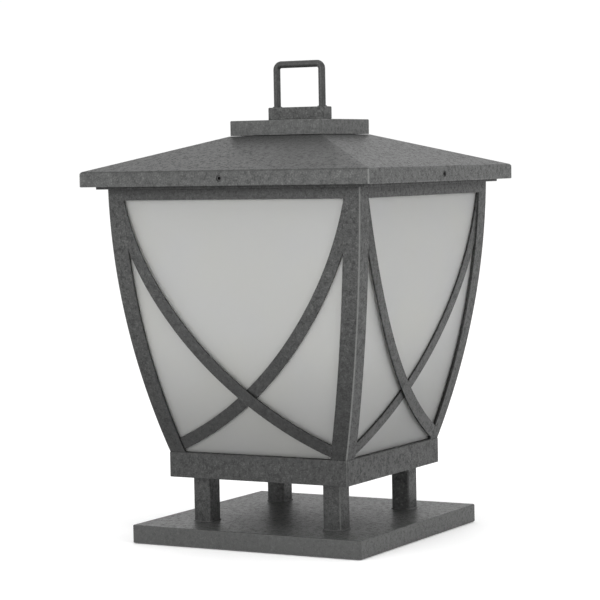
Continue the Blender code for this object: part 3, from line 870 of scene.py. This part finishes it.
class LANTERN_OT_top_frame(PieceMaker, bpy.types.Operator):
    """Make the soffit frame with its lip and its drop flanges"""
    bl_idname = "lantern.top_frame"
    bl_label = "Top frame"

    def execute(self, context):
        s = sizes()
        half, top = FRAME[1].x, FRAME[1].z
        lip_thick, opening = 1.6 * MM, 101 * MM
        plate_low = RIB[1].z + GAP
        bm = round_edges(block_mesh((-half, -half, plate_low), (half, half, top)), 1.2 * MM, 3, upright)
        ob = carve(loose("soffit_frame", bm), [
            block_mesh((-reach, -reach, low), (reach, reach, top + PAST))
            for reach, low in ((half - lip_thick, plate_low + s.sheet), (opening, plate_low - PAST))])
        face = half_at(RIB[1].z)
        reach = face - s.rib_leg + 0.5 * MM                  # run into the ribs, as welded
        behind = PANEL[0].y + s.panel_thick + GAP
        foot, into = FRAME[0].z, plate_low + 1 * MM
        carve(ob, [block_mesh(*turned_box((-reach, near, foot), (reach, near + thick, into), i))
                   for i in range(4) for near, thick in ((-face, s.rib_thick), (behind, s.sheet))], 'UNION')
        piece(ease(ob, 0.35 * MM, 2, 60), METAL, "top_frame", coat="frame")
        return {'FINISHED'}


# ---------------- roof, tier and handle

def square_shell(name, outline, corner, count=4):
    """Carry a closed outline of (half width, height) pairs round a square with eased corners."""
    rings = []
    for i in range(4):
        for k in range(count + 1):
            a = math.radians(90 * k / count)
            ring = []
            for half, z in outline:
                at = half - corner
                ring.append(turned((at + corner * math.cos(a), at + corner * math.sin(a), z), i))
            rings.append(ring)
    return loft(name, rings, closed=True)


def roof_outline():
    """Section of the hipped roof: fascia, rounded fold, slope, flat top and the inside."""
    s = sizes()
    eave, low, flat = ROOF[1].x, ROOF[0].z, ROOF[1].z
    tier = TIER[1].x
    pitch = math.atan2(flat - FOLD_Z, eave - tier)
    r = s.eave_fold
    back = r * math.tan((math.pi / 2 - pitch) / 2)
    fold = arc((eave - r, FOLD_Z - back), r, 0, 90 - math.degrees(pitch), 7)
    inner = eave - s.sheet
    under = FOLD_Z - 0.75 * s.sheet
    inside_top = inner - (flat - s.sheet - under) / math.tan(pitch)
    hole, hem, nick = 24 * MM, 0.5 * MM, 0.6 * MM
    return ([(eave - hem, low), (eave, low + hem)] + fold
            + [(tier + nick, flat - nick * math.tan(pitch)), (tier - 0.4 * MM, flat),
               (hole, flat), (hole, flat - s.sheet), (inside_top, flat - s.sheet),
               (inner, under), (inner, low)])


class LANTERN_OT_roof(PieceMaker, bpy.types.Operator):
    """Make the hipped roof shell with a screw hole in each fascia"""
    bl_idname = "lantern.roof"
    bl_label = "Roof"

    def execute(self, context):
        ob = square_shell("hipped_roof", roof_outline(), 0.6 * MM)
        holes = []
        for side in SIDES:
            low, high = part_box(f"roof_screw_{side}")
            axis, k = facing(side)
            radius, past = (high.z - low.z) / 2 + 0.15 * MM, 4 * MM
            holes.append(rod_between(radius, low[k] - past, high[k] + past, axis, (low + high) / 2))
        piece(carve(ob, holes), METAL, "roof_shell", body="roof")
        return {'FINISHED'}


class LANTERN_OT_tier(PieceMaker, bpy.types.Operator):
    """Make the square tier on the roof"""
    bl_idname = "lantern.tier"
    bl_label = "Roof tier"

    def execute(self, context):
        ob = folded_pan("folded_roof_tier", TIER, screw_holes("block_screw"))
        piece(ob, METAL, "roof_tier", body="roof", coat="tier")
        return {'FINISHED'}


def set_screw(side):
    """A socket set screw with a chamfered rim and tip."""
    low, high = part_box(f"roof_screw_{side}")
    axis, k = facing(side)
    middle = (low + high) / 2
    ob = loose(f"socket_screw_{side}", rod_between((high.z - low.z) / 2, low[k], high[k], axis, middle, 40))
    ease(ob, 0.35 * MM, 2, 60)
    face, out = (high[k], 1) if middle[k] > 0 else (low[k], -1)
    start, stop = sorted((face - out * 2.6 * MM, face + out * 2 * MM))
    return carve(ob, [rod_between(1.45 * MM, start, stop, axis, middle, 6)])


def weld_nut(side):
    """A square weld nut with rounded corners."""
    low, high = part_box(f"roof_nut_{side}")
    axis, k = facing(side)
    bm = round_edges(block_mesh(low, high), 0.8 * MM, 3, lambda a, b: abs(a[k] - b[k]) > 1e-6)
    bore = rod_between(2.6 * MM, low[k] - PAST, high[k] + PAST, axis, (low + high) / 2)
    return ease(carve(loose(f"weld_nut_{side}", bm), [bore]), 0.3 * MM, 2, 60)


class LANTERN_OT_set_screws(PieceMaker, bpy.types.Operator):
    """Make the four socket set screws and their weld nuts"""
    bl_idname = "lantern.set_screws"
    bl_label = "Roof set screws"

    def execute(self, context):
        for side in SIDES:
            screw = f"roof_screw_{side}"
            piece(set_screw(side), "dark_screw_steel", screw, body=screw)
            piece(weld_nut(side), "dark_screw_steel", f"roof_nut_{side}", body="roof")
        return {'FINISHED'}


class LANTERN_OT_handle(PieceMaker, bpy.types.Operator):
    """Make the handle block, the bent rod handle, its weld beads and the block's screws"""
    bl_idname = "lantern.handle"
    bl_label = "Carry handle"

    def execute(self, context):
        s = sizes()
        radius = 3.0 * MM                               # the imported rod's flats lie inside it
        foot, top, leg = HANDLE[0].z, HANDLE[1].z - radius, HANDLE[1].x - radius
        low, high = BLOCK
        ob = loose("solid_handle_block", round_edges(block_mesh(low, high), 0.9 * MM, 3))
        holes = [rod_between(radius + GAP, foot - GAP, high.z + PAST, 'Z', (x, 0, 0), 40)
                 for x in (-leg, leg)]
        for tag in ("left", "right"):
            screw_low, screw_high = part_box(f"block_screw_{tag}")
            holes.append(rod_between(2.1 * MM, low.z - PAST, screw_high.z + 0.2 * MM, 'Z',
                                     (screw_low + screw_high) / 2))
            self.block_screw(tag, screw_low, screw_high)
        piece(carve(ob, holes), METAL, "handle_block", body="roof", coat="block")
        path = [(-leg, 0, foot), (-leg, 0, top), (leg, 0, top), (leg, 0, foot)]
        rod = tube("bent_rod_handle", rounded_path(path, s.handle_bend, 10), radius, 32)
        piece(rod, METAL, "carry_handle", body="roof", crease=60)
        bead = s.bead * 0.8
        section = [(radius + bead + r, z) for r, z in arc((0, 0), bead, 0, 330, 11)]
        for tag, x in (("left", -leg), ("right", leg)):
            weld = revolved(f"handle_weld_{tag}", section, (x, 0, high.z + 0.2 * MM), 48, ring=True)
            piece(weld, METAL, body="roof", crease=80)
        return {'FINISHED'}

    @staticmethod
    def block_screw(tag, low, high):
        """A pan head screw, its head down inside the tier."""
        x, r, tall = (low.x + high.x) / 2, (high.x - low.x) / 2, high.z - low.z
        head, shank = 3 * MM, 1.9 * MM
        outline = [(0, 0), (r - 0.7 * MM, 0), (r, 0.8 * MM), (r, head), (shank, head),
                   (shank, tall - 0.5 * MM), (shank - 0.5 * MM, tall), (0, tall)]
        ob = revolved(f"pan_head_screw_{tag}", outline, (x, 0, low.z), 40)
        carve(ob, cross_recess(x, low.z - 1 * MM, low.z + 1.4 * MM, 2.1 * MM))
        piece(ob, "dark_screw_steel", f"block_screw_{tag}", body="roof")


# ---------------- lamp and wiring

class LANTERN_OT_lampholder(PieceMaker, bpy.types.Operator):
    """Make the glazed lampholder, its plated sleeve and its two screws"""
    bl_idname = "lantern.lampholder"
    bl_label = "Lampholder"

    def execute(self, context):
        base, tall, flange = HOLDER[0].z, HOLDER[1].z - HOLDER[0].z, HOLDER[1].x
        body, bore, floor, brim = 21 * MM, 14.0 * MM, 13 * MM, 2.6 * MM
        outline = [(0, 0), (flange - 0.6 * MM, 0), (flange, 0.6 * MM), (flange, 3.4 * MM),
                   (flange - 0.7 * MM, 4.0 * MM), (body + 0.9 * MM, 4.2 * MM), (body, 5.1 * MM)]
        for i in range(3):                              # shallow grooves for a grip
            z = (16 + 8 * i) * MM
            outline += [(body, z - 1.2 * MM), (body - 0.8 * MM, z), (body, z + 1.2 * MM)]
        outline += [(body, tall - 3.2 * MM)] + arc((body - brim, tall - brim), brim, 10, 90, 6)
        outline += [(bore + 0.8 * MM, tall), (bore, tall - 0.8 * MM), (bore, floor), (0, floor)]
        ob = revolved("glazed_lampholder", outline, (0, 0, base), 72)
        holes = []
        for tag in ("left", "right"):
            low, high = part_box(f"holder_screw_{tag}")
            holes.append(rod_between(2.1 * MM, base - PAST, base + PAST, 'Z', (low + high) / 2))
            self.holder_screw(tag, low, high)
        piece(carve(ob, holes), "lampholder_ceramic", "lampholder")
        outer, inner, foot, top = bore - 0.12 * MM, bore - 0.4 * MM, 16 * MM, tall - 2 * MM
        sleeve = [(outer, foot), (outer, top), (inner, top), (inner, foot)]
        piece(revolved("holder_sleeve", sleeve, (0, 0, base), 64, ring=True), "lamp_cap_metal")
        return {'FINISHED'}

    @staticmethod
    def holder_screw(tag, low, high):
        """A dome head screw through the lampholder's flange."""
        x, r, tip = (low.x + high.x) / 2, (high.x - low.x) / 2, low.z - HOLDER[0].z
        shank, under, top = 1.8 * MM, 4.6 * MM, high.z - HOLDER[0].z
        rim = under + 0.5 * MM
        dome = [(r * math.cos(t), rim + (top - rim) * math.sin(t))
                for t in (math.radians(15 * i) for i in range(6))]
        outline = [(0, tip), (shank, tip), (shank, under), (r, under)] + dome + [(0, top)]
        ob = revolved(f"dome_head_screw_{tag}", outline, (x, 0, HOLDER[0].z), 40)
        carve(ob, cross_recess(x, high.z - 1.1 * MM, high.z + 1 * MM, 2.0 * MM))
        piece(ob, "dark_screw_steel", f"holder_screw_{tag}")


class LANTERN_OT_lamp(PieceMaker, bpy.types.Operator):
    """Make the lamp: its ringed cap and its opal bulb"""
    bl_idname = "lantern.lamp"
    bl_label = "Lamp"

    def execute(self, context):
        low, r, tall = CAP[0].z, CAP[1].x, CAP[1].z - CAP[0].z
        neck, crest, inside = r - 1.3 * MM, 0.5 * MM, 19 * MM
        thread = [(r - crest + crest * math.cos(i * math.pi / 4), 6 * MM + i * 15 * MM / 40)
                  for i in range(41)]                   # rolled thread, drawn as round rings
        outline = ([(0, 0), (3.6 * MM, 0), (4.5 * MM, 0.5 * MM), (5.0 * MM, 1.3 * MM), (9.5 * MM, 3.5 * MM),
                    (r - 1 * MM, 4.8 * MM)] + thread
                   + [(r - 0.3 * MM, 22.5 * MM), (r - 0.3 * MM, tall - 0.3 * MM), (r - 0.6 * MM, tall),
                      (neck, tall), (neck, inside), (0, inside)])
        piece(revolved("ringed_lamp_cap", outline, (0, 0, low), 64), "lamp_cap_metal", "lamp_cap",
              body="lamp", crease=50)
        wide, crown, wall = BULB[1].x, BULB[1].z - low, 1 * MM
        shell = ([(0, crown - wall)] + self.bulb_skin(wall, neck - GAP, wide, crown, tall)[::-1]
                 + self.bulb_skin(0, neck - GAP, wide, crown, tall) + [(0, crown)])
        piece(revolved("opal_bulb", shell, (0, 0, low), 80), "opal_lamp_glass", "lamp_bulb",
              body="lamp", crease=60)
        return {'FINISHED'}

    @staticmethod
    def bulb_skin(inset, neck, wide, crown, shoulder, count=28):
        """The bulb's outline set in by a distance: neck, swelling side and round crown."""
        middle = crown - wide
        points = [(neck - inset, BULB[0].z - CAP[0].z)]
        for i in range(count):
            t = i / count
            swell = t * t * (3 - 2 * t)
            points.append((neck + (wide - neck) * swell - inset, shoulder + (middle - shoulder) * t))
        return points + arc((0, middle), wide - inset, 0, 90, count)[:-1]


class LANTERN_OT_wiring(PieceMaker, bpy.types.Operator):
    """Make the grommets, the supply cable, the terminal block and the lead to the lampholder"""
    bl_idname = "lantern.wiring"
    bl_label = "Wiring"

    def execute(self, context):
        way = centre_of("post_left")
        for name in ("base_grommet", "tray_grommet"):
            self.grommet(name, (way.x, way.y, 0))
        self.terminal()
        z, end = TERMINAL[0].z + 7.7 * MM, TERMINAL[1].y + GAP
        route = [(way.x, way.y, CABLE[0].z), (way.x, way.y, TRAY[1].z + 14 * MM),
                 (-50 * MM, 46 * MM, z), (-50 * MM, end, z)]
        cable = tube("supply_cable_sheath", rounded_path(route, 6 * MM, 10), 3.2 * MM, 24)
        piece(cable, "black_rubber", "supply_cable", crease=60)
        low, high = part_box("lamp_lead")
        route = [(low.x, 12 * MM, z), (-34 * MM, 12 * MM, z),
                 (-30 * MM, 0, z + 8 * MM), (high.x, 0, z + 8 * MM)]
        lead = tube("lamp_lead_sheath", rounded_path(route, 3 * MM, 8), 2.4 * MM, 20)
        piece(lead, "black_rubber", "lamp_lead", crease=60)
        return {'FINISHED'}

    @staticmethod
    def grommet(name, place):
        """A grommet with a lip on each side of its plate."""
        low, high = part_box(name)
        flange, hole, bore = (high.x - low.x) / 2, 5.2 * MM, 3.5 * MM
        a, b, r = low.z, high.z, 0.6 * MM
        lip = 1.6 * MM - GAP
        outline = ([(bore, a)] + arc((flange - r, a + r), r, -90, 0, 3)
                   + [(flange, a + lip), (hole, a + lip), (hole, b - lip), (flange, b - lip)]
                   + arc((flange - r, b - r), r, 0, 90, 3) + [(bore, b)])
        piece(revolved(f"rubber_{name}", outline, place, 48, ring=True), "black_rubber", name)

    @staticmethod
    def terminal():
        """A three-way terminal block: a screw well for each way and a groove between ways."""
        low, high = TERMINAL
        ob = loose("three_way_terminal", round_edges(block_mesh(low, high), 0.9 * MM, 3))
        cuts = []
        way = (high.y - low.y) / 3
        for i in range(3):
            middle = ((low.x + high.x) / 2, low.y + way * (i + 0.5), 0)
            cuts.append(rod_between(2.2 * MM, high.z - 3 * MM, high.z + PAST, 'Z', middle, 24))
            if i < 2:
                edge = low.y + way * (i + 1)
                cuts.append(block_mesh((low.x - 1 * MM, edge - 0.6 * MM, high.z - 4 * MM),
                                       (high.x + 1 * MM, edge + 0.6 * MM, high.z + 1 * MM)))
        piece(carve(ob, cuts), "terminal_plastic", "terminal_block")


# ---------------- the stage

UNIT = 135.0 * MM                  # half the eave, the measure the camera is placed by
YAW, PITCH, ROLL = math.radians(29.218), math.radians(3.470), math.radians(1.0508)
AIM = Vector((0, 0, 1.3 * UNIT))
AWAY, ASIDE, RAISED = 14.7647, -0.02435, 0.17725      # from the aim: back, to the right and up, in UNITs
FOCAL = 3.89385                    # focal length in sensor widths


class LANTERN_OT_stage(PieceMaker, bpy.types.Operator):
    """Make the pale floor, the soft lights and the camera"""
    bl_idname = "lantern.stage"
    bl_label = "Stage"

    def execute(self, context):
        floor = loose("studio_floor", block_mesh((-12, -12, -0.02), (12, 12, -0.2 * MM)))
        floor.data.materials.append(studio_floor())
        world = bpy.data.worlds.new("studio_white")
        world.use_nodes = True
        sky = world.node_tree.nodes["Background"].inputs
        sky["Color"].default_value = (1, 1, 1, 1)
        sky["Strength"].default_value = 1.02
        context.scene.world = world
        context.scene.view_settings.view_transform = 'Standard'
        self.softbox("overhead", (0.3, -0.25, 1.9), 1.5, 5)
        self.softbox("right_key", (2.2, -0.85, 0.95), 0.6, 9)
        self.softbox("front_fill", (-0.5, -2.4, 0.8), 0.9, 16)
        self.camera(context)
        return {'FINISHED'}

    @staticmethod
    def softbox(name, place, size, power):
        """A square light that faces the lantern's middle."""
        light = bpy.data.lights.new(name, 'AREA')
        light.shape, light.size, light.energy = 'SQUARE', size, power
        ob = bpy.data.objects.new(name, light)
        ob.location = place
        ob.rotation_euler = (Vector((0, 0, 0.2)) - Vector(place)).to_track_quat('-Z', 'Y').to_euler()
        ob.visible_camera = False
        bpy.context.scene.collection.objects.link(ob)

    @staticmethod
    def camera(context):
        s, c = math.sin(YAW), math.cos(YAW)
        sp, cp = math.sin(PITCH), math.cos(PITCH)
        ahead = Vector((-s * cp, c * cp, -sp))
        level_right, level_up = Vector((c, s, 0)), Vector((-s * sp, c * sp, cp))
        right = math.cos(ROLL) * level_right - math.sin(ROLL) * level_up
        up = math.sin(ROLL) * level_right + math.cos(ROLL) * level_up
        place = AIM + UNIT * (-AWAY * ahead + ASIDE * right + RAISED * up)
        data = bpy.data.cameras.new("studio_camera")
        data.lens = FOCAL * data.sensor_width
        camera = bpy.data.objects.new("studio_camera", data)
        camera.matrix_world = Matrix.Translation(place) @ Matrix((right, up, -ahead)).transposed().to_4x4()
        context.scene.collection.objects.link(camera)
        context.scene.camera = camera


# ---------------- add-on

OPERATORS = (
    LANTERN_OT_base_pan, LANTERN_OT_foot_pads, LANTERN_OT_posts, LANTERN_OT_tray,
    LANTERN_OT_ribs, LANTERN_OT_straps, LANTERN_OT_panels, LANTERN_OT_top_frame,
    LANTERN_OT_roof, LANTERN_OT_tier, LANTERN_OT_set_screws, LANTERN_OT_handle,
    LANTERN_OT_lampholder, LANTERN_OT_lamp, LANTERN_OT_wiring, LANTERN_OT_stage,
)


class LANTERN_PT_panel(bpy.types.Panel):
    """The lantern's pieces, in the order they are made"""
    bl_idname = "LANTERN_PT_panel"
    bl_label = "Garden Lantern"
    bl_space_type = 'VIEW_3D'
    bl_region_type = 'UI'
    bl_category = "Lantern"

    def draw(self, context):
        for group in (context.scene.lantern_sizes, context.scene.lantern_colours):
            box = self.layout.box()
            for name in group.__annotations__:
                box.prop(group, name)
        for operator in OPERATORS:
            self.layout.operator(operator.bl_idname)


CLASSES = (LanternSizes, LanternColours) + OPERATORS + (LANTERN_PT_panel,)


def register():
    for cls in CLASSES:
        bpy.utils.register_class(cls)
    bpy.types.Scene.lantern_sizes = PointerProperty(type=LanternSizes)
    bpy.types.Scene.lantern_colours = PointerProperty(type=LanternColours)


def unregister():
    del bpy.types.Scene.lantern_colours
    del bpy.types.Scene.lantern_sizes
    for cls in reversed(CLASSES):
        bpy.utils.unregister_class(cls)


def main():
    register()
    for operator in OPERATORS:
        group, name = operator.bl_idname.split(".")
        getattr(getattr(bpy.ops, group), name)()


if __name__ == "__main__":
    main()
